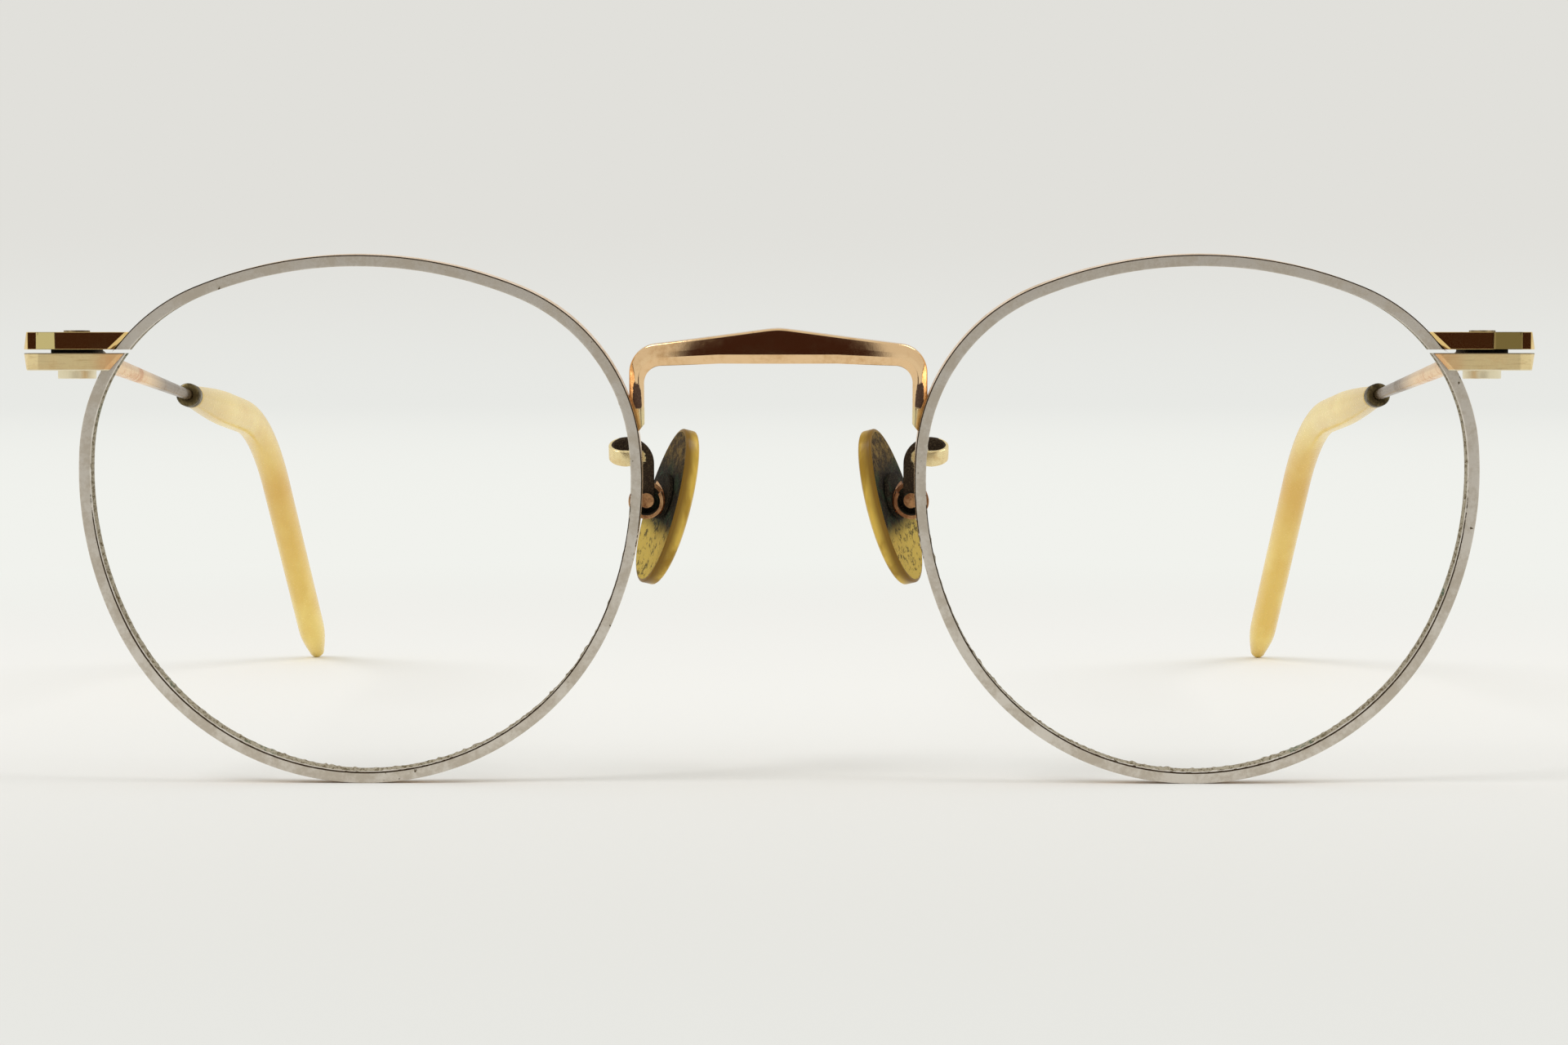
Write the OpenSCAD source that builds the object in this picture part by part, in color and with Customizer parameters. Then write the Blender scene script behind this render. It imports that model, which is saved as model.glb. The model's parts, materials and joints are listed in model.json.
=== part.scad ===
// Panto eyeglasses: a flat-faced metal front with a peaked bridge, split endpieces that
// the hinge screws close, rocking nose pads on bent arms, and wire temples with honey tips.
// Left and right are the wearer's. Left is at +X, the front faces -Y, and +Z is up.

/* [Lens shape] */
// Width of each lens, edge to edge
eye_w = 46; // [42:1:50]
// Gap between the two lenses at the nose
nose_gap = 24; // [21:1:28]
// Radius of the lens's upper corners
corner_r = 15.5; // [14:0.5:17]
// Radius of the lens's sides
side_r = 29.5; // [27:0.5:32]
// Forward lean of the front, in degrees
lean = 5; // [1:1:8]

/* [Rims] */
// Depth of the rim, front to back
rim_d = 1.9; // [1.7:0.1:2.4]
// Rim outside the lens edge
rim_out = 0.6; // [0.45:0.05:0.8]
// Lip that covers the lens edge
rim_lip = 0.35; // [0.25:0.05:0.5]
// Width of the lens groove at its mouth
groove_w = 1.0; // [0.8:0.1:1.2]
// Depth of the lens groove
groove_d = 0.5; // [0.4:0.05:0.6]

/* [Endpieces] */
// Height of each half of an endpiece
bar_h = 1.45; // [1.3:0.05:2]
// Gap that the closing screw draws together
bar_gap = 0.3; // [0.2:0.05:0.5]
// Length from the rim's outer wall to the outer end
bar_len = 7.6; // [7.2:0.1:9]
// Depth behind the rim's face
bar_d = 2.3; // [2.1:0.1:2.5]
// Height of the bar's face in front of the rim's face
bar_proud = 0.35; // [0.3:0.05:0.5]
// How far the lower half laps over the rim's face at the gap
bar_lap = 1.1; // [0.8:0.05:1.2]

/* [Hinges] */
// Distance from the rim's outer wall to the screw
hinge_reach = 3.8; // [3.7:0.1:4.4]
// Distance of the screw behind the rim's face
hinge_back = 3.6; // [3.5:0.1:4.2]
// Radius of the endpiece round the screw
knuckle_r = 1.95; // [1.7:0.05:2.2]
// Radius of the screw's shank
screw_r = 0.6; // [0.5:0.05:0.8]
// Radius of the screw's head
head_r = 1.1; // [1:0.05:1.3]
// Thickness of the temple's tongue between the endpiece halves
tongue_t = 1.05; // [0.8:0.05:1.3]

/* [Bridge] */
// Height of the bridge's peak above the rims' lowest point
peak_z = 38.6; // [37:0.2:40]
// Height of the bar at its middle
crest_h = 2.9; // [2.3:0.1:3.2]
// How far the bar's top falls from the peak to its ends
crest_fall = 1.3; // [0.6:0.1:1.6]
// Depth of the bar, front to back
crest_d = 1.5; // [1.2:0.1:2]
// Forward bow of the bar
crest_bow = 1.6; // [0.8:0.1:2]
// Width of each leg
leg_w = 1.25; // [1:0.05:1.4]
// Height of each leg's foot above the lens's middle
leg_foot_h = 6.9; // [6.4:0.1:7.4]
// Height of the bevel along the bar's lower edge
bevel_h = 0.75; // [0.4:0.05:1]

/* [Pad arms] */
// Width of the arm's ribbon
arm_w = 1.3; // [1.1:0.1:1.6]
// Thickness of the arm's ribbon
arm_t = 0.45; // [0.35:0.05:0.55]
// Radius of the bight on the lens side of the rim
bight_r = 1.3; // [1.1:0.1:1.6]
// Radius of the bow down to the pad
bow_r = 1.6; // [1.4:0.05:2]
// Height of the arm's rear leg above the lens's middle
arm_h = 5.4; // [5:0.1:5.7]
// Rise of the arm from its foot to its rear leg
arm_rise = 0.85; // [0.6:0.05:1]
// Drop from the bow to the pad's pin
arm_drop = 3.1; // [2.6:0.1:3.5]
// Radius of the pad's pin
pin_r = 0.35; // [0.3:0.05:0.45]

/* [Nose pads] */
// Length of a pad
pad_l = 13.7; // [12:0.1:15]
// Width of a pad
pad_w = 7.4; // [6.5:0.1:8]
// Thickness of a pad at its middle
pad_t = 1.9; // [1.6:0.1:2.4]
// Tilt of the pads, tops towards the nose, in degrees
pad_tilt = 16.5; // [12:0.5:19]
// Splay of the pads, rear edges apart, in degrees
pad_splay = 21; // [14:1:24]

/* [Temples] */
// Length from the hinge screw to the start of the ear bend
temple_len = 73; // [68:1:80]
// Radius of the ear bend
bend_r = 38; // [30:1:44]
// Slope of the temple ahead of the bend, in degrees
temple_slope = 5.2; // [3:0.2:7]
// Slope of the temple behind the bend, in degrees
ear_slope = 38.5; // [34:0.5:44]
// How far each temple turns in at rest, in degrees
toe_in = 1.1; // [0.5:0.1:3]
// Radius of the wire behind the hinge
wire_r = 0.8; // [0.7:0.05:0.95]
// Radius of the wire at the ferrule
wire_end_r = 0.5; // [0.45:0.05:0.6]
// Distance from the hinge screw to the tip's front end
tip_start = 47; // [42:1:52]
// Radius of the tip, measured across
tip_r = 1.5; // [1.4:0.05:1.8]
// Height of the tip's section over its width
tip_oval = 1.2; // [1:0.05:1.4]

/* [Hidden] */
// Clearances: solder film, running fit of a pin, and play beside a moving flat
solder = 0.02;
pin_gap = 0.04;
side_gap = 0.06;
// Smoothness of turned surfaces and of moulded ones
$fn = 96;
moulded_fn = 32;

// Colours
nickel = [0.72, 0.70, 0.67];
yellow_gold = [0.80, 0.66, 0.38];
rose_gold = [0.78, 0.58, 0.40];
steel = [0.45, 0.40, 0.34];
honey = [0.90, 0.72, 0.38];
amber = [0.66, 0.50, 0.20];

// The panto outline is six tangent arcs. These are the directions where they meet,
// measured from the lens's horizontal.
low_a = 25;
mid_a = 5;
high_a = 68;
function dir(a) = [cos(a), sin(a)];
bottom_r = (eye_w / 2 - side_r * (1 - cos(low_a))) / cos(low_a);
side_c = (bottom_r - side_r) * dir(-low_a);
corner_c = side_c + (side_r - corner_r) * dir(mid_a);
top_r = corner_r + corner_c.x / cos(high_a);
top_c = [0, corner_c.y + (corner_r - top_r) * sin(high_a)];

// Where the lens's bottom arc is centred
lens_x = (eye_w + nose_gap) / 2;
lens_z = bottom_r + rim_out;

// A point of the leaning front, given as if the front stood upright, in the part's frame
function leaned(p) = [
    p.x,
    front_y + p.y * cos(lean) - p.z * sin(lean),
    p.y * sin(lean) + p.z * cos(lean)
];

// The endpiece meets the upper outer corner at this direction
joint_a = 36.3;
joint = [lens_x + corner_c.x + (corner_r + rim_out) * cos(joint_a),
         lens_z + corner_c.y + (corner_r + rim_out) * sin(joint_a)];
hinge_z = joint.y * cos(lean);
hinge_x = joint.x + hinge_reach;
joint_y = -joint.y * sin(lean);

// The temple's path, seen from the side, from the hinge screw to the centre of its end
tip_end_r = 0.9;
bend_start = temple_len * [cos(temple_slope), -sin(temple_slope)];
bend_c = bend_start - bend_r * [sin(temple_slope), cos(temple_slope)];
bend_end = bend_c + bend_r * [sin(ear_slope), cos(ear_slope)];
bend_len = bend_r * (ear_slope - temple_slope) * PI / 180;
ear_len = (hinge_z + bend_end.y - tip_end_r) / sin(ear_slope);
path_len = temple_len + bend_len + ear_len;
path_end = bend_end + ear_len * [cos(ear_slope), -sin(ear_slope)];

// The origin is at the middle of the whole part's depth. The bridge's feet stand with
// their front edge a little ahead of the middle of the rim's depth.
foot_ahead = 0.25;
crest_front = crest_bow + foot_ahead - rim_d / 2;
foremost = -crest_front * cos(lean) - peak_z * sin(lean);
rearmost = joint_y + hinge_back + path_end.x * cos(toe_in) + tip_end_r;
front_y = -(foremost + rearmost) / 2;
hinge_y = front_y + joint_y + hinge_back;

// The pad's pin and centre, as if the front stood upright
arm_z = lens_z + arm_h;
bow_c = [lens_x - eye_w / 2 + 0.85, arm_z - bow_r];
eyelet = [bow_c.x - bow_r, bow_c.y - arm_drop];
eyelet_y = rim_d + solder + arm_t / 2 + 2 * bight_r;
cup_r = 1.5;
cup_wall = 0.35;
cup_d = 1.5;
pad_edge_t = 1.1;
pad_c = [eyelet.x - 1.7, eyelet_y + 0.9, eyelet.y - 0.7];

// Places a left-hand piece, then its mirror on the right
module on_left(side) {
    if (side == "left") children();
    else mirror([1, 0, 0]) children();
}

// Leans the upright front and sets it at its place in depth
module leaning() {
    translate([0, front_y, 0]) rotate([lean, 0, 0]) children();
}

// Turns a drawing's x and y into the front's width and height, and its z towards the viewer
module upright() {
    rotate([90, 0, 0]) children();
}

// The rim's channel section, with the lens edge at zero. Every second arc is a hair
// thinner and runs on into its neighbours, so that the arcs join inside one another.
module rim_section(thinner) {
    inner = -rim_lip + thinner;
    groove = groove_w / 2 + thinner;
    translate([0, -rim_d]) difference() {
        translate([inner, 0]) square([rim_lip + rim_out - 2 * thinner, rim_d]);
        polygon([
            [inner - 0.1, rim_d / 2 - groove - 0.1], [groove_d - rim_lip + thinner, rim_d / 2],
            [inner - 0.1, rim_d / 2 + groove + 0.1]
        ]);
    }
}

module rim_arc(centre, r, from, to, thinner) {
    run_on = thinner > 0 ? 0.4 : 0;
    translate([centre.x, centre.y, 0]) rotate([0, 0, from - run_on])
        rotate_extrude(angle = to - from + 2 * run_on, $fn = 192) translate([r, 0]) rim_section(thinner);
}

module rim_side() {
    rim_arc(side_c, side_r, -low_a, mid_a, 0.01);
    rim_arc(corner_c, corner_r, mid_a, high_a, 0);
}

module rim_ring() {
    rim_arc([0, 0], bottom_r, low_a - 180, -low_a, 0);
    rim_arc(top_c, top_r, high_a, 180 - high_a, 0.01);
    rim_side();
    mirror([1, 0, 0]) rim_side();
}

module rim(side) {
    color(nickel) on_left(side) difference() {
        leaning() translate([lens_x, 0, lens_z]) upright() rim_ring();
        translate([joint.x - 4, front_y + joint_y - 2, hinge_z - bar_gap / 2])
            cube([6, rim_d + 4, bar_gap]);
    }
}

// A disc round the upper outer corner's centre, from one depth to another behind the face
module corner_disc(r, from, to) {
    leaning() translate([lens_x + corner_c.x, to, lens_z + corner_c.y]) upright()
        cylinder(r = r, h = to - from);
}

// The endpiece seen from above, from the rim's outer wall outwards
module bar_plan() {
    polygon([
        [-3, -bar_proud], [bar_len - 1.4, -bar_proud], [bar_len - 0.5, -bar_proud + 0.15],
        [bar_len, 0.6], [bar_len, bar_d - 0.1], [hinge_reach + knuckle_r * 0.7, hinge_back + knuckle_r * 0.7],
        [hinge_reach, hinge_back], [hinge_reach - knuckle_r, bar_d], [-3, bar_d]
    ]);
    translate([hinge_reach, hinge_back]) circle(r = knuckle_r);
}

// The endpiece's outer end seen from the front, slanting out towards the gap
module bar_front(height) {
    polygon([[-4, 0], [bar_len, 0], [bar_len - 0.35, height], [-4, height]]);
}

// Half of an endpiece, standing on the gap's middle plane
module bar_solid() {
    difference() {
        intersection() {
            linear_extrude(bar_h + bar_gap / 2) bar_plan();
            translate([0, hinge_back + knuckle_r + 1, 0]) rotate([90, 0, 0])
                linear_extrude(hinge_back + knuckle_r + 3) bar_front(bar_h + bar_gap / 2);
        }
        translate([-5, -2, -1]) cube([bar_len + 8, 10, 1 + bar_gap / 2]);
        translate([hinge_reach, hinge_back, -1])
            cylinder(r = knuckle_r + 0.35, h = 1 + tongue_t / 2 + side_gap);
    }
}

module at_joint() {
    translate([joint.x, front_y + joint_y, hinge_z]) children();
}

// Cuts that seat a half on the rim: the rim's wall, and in front of its face a straight
// bevelled diagonal, at one distance from the outer wall at the gap and another at the far edge
module rim_seat(at_gap, at_edge, up) {
    slant = up * atan2(at_edge - at_gap, bar_h + bar_gap / 2);
    bevel_w = 0.3;
    corner_disc(corner_r + rim_out + solder, -solder, rim_d + 4);
    at_joint() translate([at_gap, 0, 0]) rotate([0, slant, 0]) {
        translate([-10, -3, -5]) cube([10, 3.25, 10]);
        translate([bevel_w, -bar_proud, 0]) rotate([0, 0, 50]) translate([-10, -5, -5]) cube([10, 5.5, 10]);
    }
}

// How far the screw's head is let into the upper half
head_sink = 0.4;
module upper_endpiece(side) {
    color(yellow_gold) on_left(side) difference() {
        at_joint() bar_solid();
        rim_seat(0.15, -1.5, 1);
        at_joint() translate([hinge_reach, hinge_back, -1]) cylinder(r = screw_r + pin_gap, h = bar_h + 3);
        at_joint() translate([hinge_reach, hinge_back, bar_h + bar_gap / 2 - head_sink])
            cylinder(r = head_r + pin_gap, h = 1);
    }
}

boss_r = 1.6;
boss_h = 0.7;
module lower_endpiece(side) {
    color(yellow_gold) on_left(side) difference() {
        union() {
            at_joint() mirror([0, 0, 1]) bar_solid();
            at_joint() translate([hinge_reach, hinge_back, -bar_h - bar_gap / 2 - boss_h])
                cylinder(r = boss_r, h = boss_h + bar_h / 2);
        }
        rim_seat(-bar_lap, 0.35, -1);
        at_joint() translate([hinge_reach, hinge_back, -bar_h - 3]) cylinder(r = screw_r + pin_gap / 2, h = bar_h + 4);
    }
}

module hinge_screw(side) {
    top = bar_h + bar_gap / 2;
    head_h = 0.55;
    slot_w = 0.3;
    color(steel) on_left(side) at_joint() translate([hinge_reach, hinge_back, 0]) difference() {
        union() {
            translate([0, 0, -top - boss_h + 0.15]) cylinder(r = screw_r, h = 2 * top + boss_h - head_sink);
            translate([0, 0, top - head_sink + solder]) cylinder(r = head_r, h = head_h);
        }
        translate([-2, -slot_w / 2, top - head_sink + head_h - 0.25]) cube([4, slot_w, 1]);
    }
}

// The bridge seen from the front: half of the bar, its round corner and its leg
leg_x = lens_x - eye_w / 2 - 0.15;
leg_foot_z = lens_z + leg_foot_h;
function arc_points(centre, r, from, to, n) = [
    for (i = [0 : n]) centre + r * dir(from + (to - from) * i / n)
];
function half_bridge() = let (
    out_x = leg_x + leg_w / 2, in_x = leg_x - leg_w / 2,
    low_z = peak_z - crest_h, shoulder_z = peak_z - crest_fall, under_z = low_z - 0.25,
    corner = 2 * leg_w, fillet = 1.2 * leg_w
) concat(
    [[0.5, peak_z]],
    arc_points([out_x - corner, shoulder_z - corner], corner, 82, 0, 12),
    [[out_x, leg_foot_z], [in_x, leg_foot_z]],
    arc_points([in_x - fillet, under_z - fillet], fillet, 0, 90, 6),
    [[leg_x / 2, low_z]]
);

module bridge() {
    right_half = half_bridge();
    left_half = [for (i = [len(right_half) - 1 : -1 : 0]) [-right_half[i].x, right_half[i].y]];
    half_span = leg_x + leg_w / 2;
    outer_r = (half_span * half_span + crest_bow * crest_bow) / (2 * crest_bow);
    bevel_z = peak_z - crest_h - 1;
    color(rose_gold) difference() {
        leaning() difference() {
            intersection() {
                translate([0, rim_d + 2, 0]) upright() linear_extrude(rim_d + 6)
                    polygon(concat(right_half, left_half));
                translate([0, outer_r - crest_front, leg_foot_z - 1]) difference() {
                    cylinder(r = outer_r, h = peak_z - leg_foot_z + 2, $fn = 720);
                    translate([0, 0, -1]) cylinder(r = outer_r - crest_d, h = peak_z - leg_foot_z + 4, $fn = 720);
                }
            }
            intersection() {
                translate([0, outer_r - crest_front, bevel_z]) difference() {
                    cylinder(r = outer_r + 2, h = bevel_h + 2, $fn = 720);
                    translate([0, 0, -1])
                        cylinder(r1 = outer_r - 0.6 * (bevel_h + 2), r2 = outer_r + 0.6 * 3,
                            h = bevel_h + 5, $fn = 720);
                }
                translate([-leg_x + 1.2, -crest_front - 1, bevel_z - 1]) cube([2 * leg_x - 2.4, 6, 6]);
            }
        }
        bridge_seat();
        mirror([1, 0, 0]) bridge_seat();
    }
}

// The rims' outer walls, where the legs are soldered on
module bridge_seat() {
    wall_r = corner_r + rim_out + solder;
    leaning() translate([lens_x - corner_c.x, rim_d + 4, lens_z + corner_c.y]) upright()
        cylinder(r = wall_r, h = rim_d + 8);
}

// The ribbon's bight in plan: along the rim's back, round on the lens side, and back again
module pad_arm(side) {
    foot_x = lens_x - eye_w / 2 - rim_out + 0.1;
    bight_x = bow_c.x;
    rise = asin(arm_rise / (2 * bight_r));
    color(yellow_gold) on_left(side) leaning() {
        translate([foot_x, rim_d + solder, arm_z - arm_rise - arm_w / 2]) cube([bight_x - foot_x, arm_t, arm_w]);
        translate([0, rim_d + solder + arm_t / 2 + bight_r, arm_z - arm_rise / 2]) rotate([rise, 0, 0]) {
            translate([bight_x, 0, -arm_w / 2]) rotate([0, 0, -90]) rotate_extrude(angle = 180)
                translate([bight_r - arm_t / 2, 0]) square([arm_t, arm_w]);
            translate([bight_x - 0.1, bight_r - arm_t / 2, -arm_w / 2]) cube([0.1, arm_t, arm_w]);
        }
        translate([bow_c.x, eyelet_y + arm_t / 2, bow_c.y]) upright() rotate([0, 0, 90])
            rotate_extrude(angle = 90) translate([bow_r - arm_w / 2, 0]) square([arm_w, arm_t]);
        difference() {
            union() {
                translate([eyelet.x - arm_w / 2, eyelet_y - arm_t / 2, eyelet.y])
                    cube([arm_w, arm_t, bow_c.y - eyelet.y]);
                translate([eyelet.x, eyelet_y + arm_t / 2, eyelet.y]) upright() cylinder(r = arm_w / 2, h = arm_t);
            }
            translate([eyelet.x, eyelet_y + 2, eyelet.y]) upright() cylinder(r = pin_r + pin_gap, h = 4);
        }
    }
}

// The pad's own frame: its back faces +X, its length stands along Z and its width along Y
module at_pad() {
    translate(pad_c) rotate([0, -pad_tilt, 0]) rotate([0, 0, -pad_splay]) children();
}

// An open cup, cut off flat on the pad's back. The arm comes in through the opening at its top.
module pad_box(side) {
    opening_a = 58;
    back_y = eyelet_y + arm_t / 2 + side_gap;
    seat_x = pad_edge_t / 2 + solder;
    color(yellow_gold) on_left(side) leaning() {
        difference() {
            translate([eyelet.x, back_y + cup_wall, eyelet.y]) upright() cylinder(r = cup_r, h = cup_d + cup_wall);
            translate([eyelet.x, back_y, eyelet.y]) upright() cylinder(r = cup_r - cup_wall, h = cup_d + 1);
            translate([eyelet.x, back_y, eyelet.y]) upright() rotate([0, 0, 90 - opening_a])
                rotate_extrude(angle = 2 * opening_a) square([cup_r + 1, cup_d + 1]);
            translate([eyelet.x, back_y + 2, eyelet.y]) upright() cylinder(r = pin_r, h = 4);
            at_pad() translate([seat_x - 4, -5, -5]) cube([4, 10, 10]);
        }
        intersection() {
            at_pad() translate([seat_x, -2.2, -2]) cube([0.35, 4.4, 5]);
            at_pad() translate([-2, 0, 0.8]) rotate([0, 90, 0]) cylinder(r = 2, h = 6);
        }
    }
}

module pad_pin(side) {
    head_t = 0.25;
    front = eyelet_y - arm_t / 2 - side_gap;
    back = eyelet_y + arm_t / 2 + side_gap + cup_wall;
    color(steel) on_left(side) leaning() {
        translate([eyelet.x, back, eyelet.y]) upright() cylinder(r = pin_r - solder / 2, h = back - front + head_t / 2);
        translate([eyelet.x, front, eyelet.y]) upright() cylinder(r = 2 * pin_r, h = head_t);
    }
}

// The pad is an egg-shaped button: flat behind, crowned towards the nose
pad_rings = 9;
pad_round = 48;
function pad_ring(x, k, n) = [
    for (i = [0 : n - 1]) let (a = 360 * i / n, taper = 1 - 0.1 * sin(a))
        [x, k * pad_w / 2 * cos(a) * taper, k * pad_l / 2 * sin(a)]
];
module ring_solid(rings) {
    n = len(rings[0]);
    m = len(rings);
    points = [for (ring = rings, p = ring) p];
    sides = [
        for (j = [0 : m - 2], i = [0 : n - 1]) let (a = j * n + i, b = j * n + (i + 1) % n)
            each [[a, b, b + n], [a, b + n, a + n]]
    ];
    first = [for (i = [n - 1 : -1 : 0]) i];
    last = [for (i = [0 : n - 1]) (m - 1) * n + i];
    polyhedron(points = points, faces = concat([first], sides, [last]), convexity = 6);
}

module nose_pad(side) {
    crown = pad_t - pad_edge_t;
    edge = pad_edge_t / 2;
    color(amber) on_left(side) leaning() at_pad() ring_solid(concat(
        [pad_ring(edge, 0.9, pad_round), pad_ring(edge - 0.15, 0.98, pad_round), pad_ring(0, 1, pad_round)],
        [for (j = [0 : pad_rings - 1]) let (t = 90 * j / pad_rings)
            pad_ring(-edge + 0.3 - (crown + 0.3) * sin(t), 0.98 * cos(t), pad_round)]
    ));
}

// Carries the temple's own frame, with x to the rear and y up, to its hinge
module at_temple() {
    translate([hinge_x, hinge_y, hinge_z]) rotate([0, 0, toe_in]) children();
}

// Lays a solid drawn along Z down the temple's forward slope, from a distance behind the screw
module along_temple(from) {
    rotate([-temple_slope, 0, 0]) translate([0, from, 0]) rotate([-90, 0, 0]) children();
}

butt_start = 2.25;
module hinge_tongue(side) {
    neck_w = 1.5;
    butt_r = 1.1;
    butt_len = 2;
    taper_len = 3.2;
    socket_r = wire_r - 0.1;
    color(yellow_gold) on_left(side) at_temple() difference() {
        union() {
            translate([0, 0, -tongue_t / 2]) cylinder(r = knuckle_r + 0.2, h = tongue_t);
            translate([-neck_w / 2, 0, -tongue_t / 2]) cube([neck_w, butt_start + 1, tongue_t]);
            along_temple(butt_start) cylinder(r = butt_r, h = butt_len);
            along_temple(butt_start + butt_len) cylinder(r1 = butt_r, r2 = wire_r + 0.12, h = taper_len);
        }
        translate([0, 0, -2]) cylinder(r = screw_r + pin_gap, h = 4);
        along_temple(butt_start + 1.5) cylinder(r = socket_r, h = butt_len + taper_len);
    }
}

core_r = 0.45;
core_stop = 8;
module temple_wire(side) {
    spigot = butt_start + 1.5 + solder;
    shoulder = butt_start + 2 + 3.2 + solder;
    run_on = 0.3;
    color(yellow_gold) on_left(side) at_temple() {
        along_temple(spigot) cylinder(r = wire_r - 0.1 - solder, h = shoulder - spigot + 0.1);
        along_temple(shoulder) cylinder(r1 = wire_r, r2 = wire_end_r, h = tip_start - shoulder);
        along_temple(tip_start - 0.1) cylinder(r = core_r, h = temple_len - tip_start + 0.1);
        translate([0, bend_c.x, bend_c.y]) rotate([0, 90, 0]) rotate([0, 0, 180 - ear_slope - run_on])
            rotate_extrude(angle = ear_slope - temple_slope + 2 * run_on, $fn = 360)
                translate([bend_r, 0]) circle(r = core_r - 0.01, $fn = 48);
        translate([0, bend_end.x, bend_end.y]) rotate([-90 - ear_slope, 0, 0])
            cylinder(r = core_r, h = ear_len - core_stop);
    }
}

ferrule_len = 1.9;
module ferrule(side) {
    color(steel) on_left(side) at_temple() along_temple(tip_start - ferrule_len) difference() {
        cylinder(r = 1.15, h = ferrule_len - solder);
        translate([0, 0, -1]) cylinder(r = wire_end_r + 0.05, h = ferrule_len + 2);
    }
}

// A point of the temple's path and the direction there, at a distance from the screw
function path_slope(t) =
    t < temple_len ? temple_slope
    : t < temple_len + bend_len ? temple_slope + (t - temple_len) / bend_r * 180 / PI
    : ear_slope;
function path_point(t) =
    t < temple_len ? t * [cos(temple_slope), -sin(temple_slope)]
    : t < temple_len + bend_len ? bend_c + bend_r * [sin(path_slope(t)), cos(path_slope(t))]
    : bend_end + (t - temple_len - bend_len) * [cos(ear_slope), -sin(ear_slope)];
function path_ring(t, rx, ry, n) = let (p = path_point(t), a = path_slope(t)) [
    for (i = [0 : n - 1]) let (u = rx * cos(360 * i / n), v = ry * sin(360 * i / n))
        [u, p.x + v * sin(a), p.y + v * cos(a)]
];

// The tip swells behind the ferrule, thins a little down the ear and ends in a round point
swell_len = 16;
point_len = 5;
function tip_radius(t) =
    let (u = t - tip_start, left = path_len - t)
    u < swell_len ? 1.05 + (tip_r - 1.05) * sin(90 * u / swell_len)
    : left > point_len ? tip_r
    : tip_end_r + (tip_r - tip_end_r) * sin(90 * max(left, 0) / point_len);
function tip_height(t) =
    let (u = t - tip_start, left = path_len - t)
    tip_radius(t) * (1 + (tip_oval - 1) * min(1, u / swell_len) * min(1, max(left, 0) / point_len));

module temple_tip(side) {
    rings = 44;
    cap_rings = 5;
    bore_rings = 36;
    bore_r = core_r + 0.1;
    bore_end = path_len - core_stop + 0.5;
    color(honey) on_left(side) at_temple() difference() {
        ring_solid(concat(
            [for (j = [0 : rings]) let (t = tip_start + (path_len - tip_start) * j / rings)
                path_ring(t, tip_radius(t), tip_height(t), moulded_fn)],
            [for (j = [1 : cap_rings]) let (b = 85 * j / cap_rings)
                path_ring(path_len + tip_end_r * sin(b), tip_end_r * cos(b), tip_end_r * cos(b), moulded_fn)]
        ));
        ring_solid([for (j = [0 : bore_rings]) let (t = tip_start - 0.5 + (bore_end - tip_start + 0.5) * j / bore_rings)
            path_ring(t, bore_r, bore_r, 16)]);
    }
}

rim("right");  // right_rim
rim("left");  // left_rim
bridge();
upper_endpiece("right");  // right_upper_endpiece
upper_endpiece("left");  // left_upper_endpiece
lower_endpiece("right");  // right_lower_endpiece
lower_endpiece("left");  // left_lower_endpiece
hinge_screw("right");  // right_hinge_screw
hinge_screw("left");  // left_hinge_screw
pad_arm("right");  // right_pad_arm
pad_arm("left");  // left_pad_arm
pad_box("right");  // right_pad_box
pad_box("left");  // left_pad_box
pad_pin("right");  // right_pad_pin
pad_pin("left");  // left_pad_pin
nose_pad("right");  // right_nose_pad
nose_pad("left");  // left_nose_pad
hinge_tongue("right");  // right_hinge_tongue
hinge_tongue("left");  // left_hinge_tongue
temple_wire("right");  // right_temple_wire
temple_wire("left");  // left_temple_wire
ferrule("right");  // right_ferrule
ferrule("left");  // left_ferrule
temple_tip("right");  // right_temple_tip
temple_tip("left");  // left_temple_tip
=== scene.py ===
import json
import math

import bmesh
import bpy
import mathutils
from mathutils import Matrix, Vector


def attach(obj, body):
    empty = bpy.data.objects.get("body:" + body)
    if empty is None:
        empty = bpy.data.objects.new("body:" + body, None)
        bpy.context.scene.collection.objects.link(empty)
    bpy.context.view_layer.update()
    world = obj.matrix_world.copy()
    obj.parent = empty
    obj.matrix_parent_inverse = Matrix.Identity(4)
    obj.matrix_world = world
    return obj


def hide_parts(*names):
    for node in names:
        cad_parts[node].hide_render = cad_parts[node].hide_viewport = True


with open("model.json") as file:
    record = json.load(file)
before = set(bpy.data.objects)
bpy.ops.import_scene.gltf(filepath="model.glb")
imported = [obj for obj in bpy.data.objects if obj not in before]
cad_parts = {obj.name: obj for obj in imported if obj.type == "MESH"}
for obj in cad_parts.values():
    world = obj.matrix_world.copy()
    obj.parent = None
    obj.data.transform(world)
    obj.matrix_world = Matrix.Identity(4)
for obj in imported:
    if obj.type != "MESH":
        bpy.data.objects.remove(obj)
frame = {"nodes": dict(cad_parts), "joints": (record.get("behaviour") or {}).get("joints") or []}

scene = bpy.context.scene
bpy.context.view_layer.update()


# Camera: square on from the front, just above the bridge's middle, with a long lens, so that
# both rims stay round and the temples run back inside them.
MM = 0.001
CAMERA_DOWN = 2.784
CAMERA_TURN = 0.393
camera_data = bpy.data.cameras.new("camera")
camera_data.sensor_width = 36
camera_data.lens = 75.64
camera_data.clip_start = 0.01
camera = bpy.data.objects.new("camera", camera_data)
camera.location = (2.37 * MM, -335.83 * MM, 35.65 * MM)
camera.rotation_euler = (math.radians(90 - CAMERA_DOWN), 0, math.radians(CAMERA_TURN))
scene.collection.objects.link(camera)
scene.camera = camera
scene.view_settings.view_transform = "Standard"


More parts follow.
